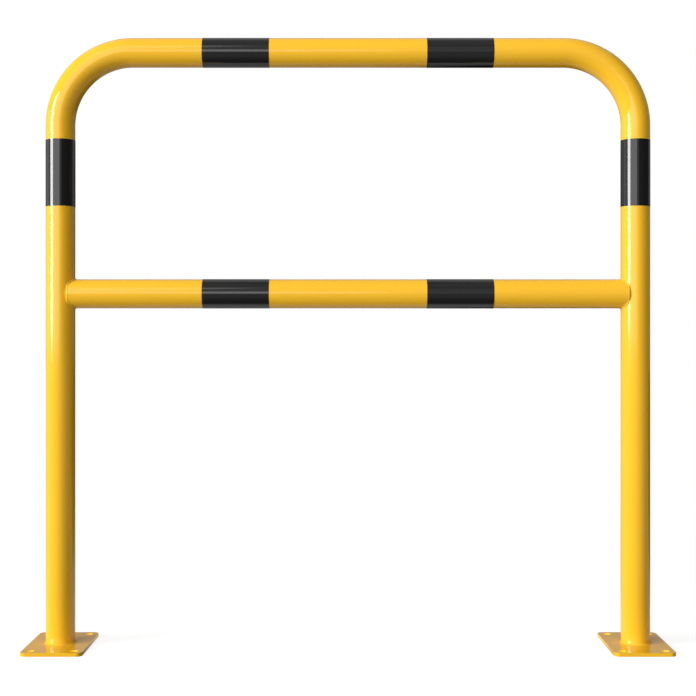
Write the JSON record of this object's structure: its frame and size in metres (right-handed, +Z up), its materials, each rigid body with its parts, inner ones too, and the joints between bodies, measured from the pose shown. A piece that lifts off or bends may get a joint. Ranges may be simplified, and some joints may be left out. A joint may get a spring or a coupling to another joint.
{
  "type": "barrier hoop",
  "caption": "Bolt-down steel barrier hoop in yellow with black bands: a tube bent to a hoop, with a welded knee rail and a drilled base plate under each post.",
  "frame": {"origin": "middle of the hoop on the ground, halfway between the two posts, on the underside of the base plates", "axes": "+Z up, X along the hoop from the left post to the right one, the front looks along -Y"},
  "size_m": [1.052, 0.16, 1.0063],
  "materials": {
    "yellow_coat": "glossy powder coat on steel",
    "black_film": "glossy self-adhesive film"
  },
  "bodies": {
    "root": {"hoop_tube": "yellow_coat", "knee_rail": "yellow_coat", "base_plate_left": "yellow_coat", "base_plate_right": "yellow_coat", "foot_weld_left": "yellow_coat", "foot_weld_right": "yellow_coat", "rail_weld_left": "yellow_coat", "rail_weld_right": "yellow_coat", "band_top_left": "black_film", "band_top_right": "black_film", "band_rail_left": "black_film", "band_rail_right": "black_film", "band_post_left": "black_film", "band_post_right": "black_film"}
  },
  "joints": []
}
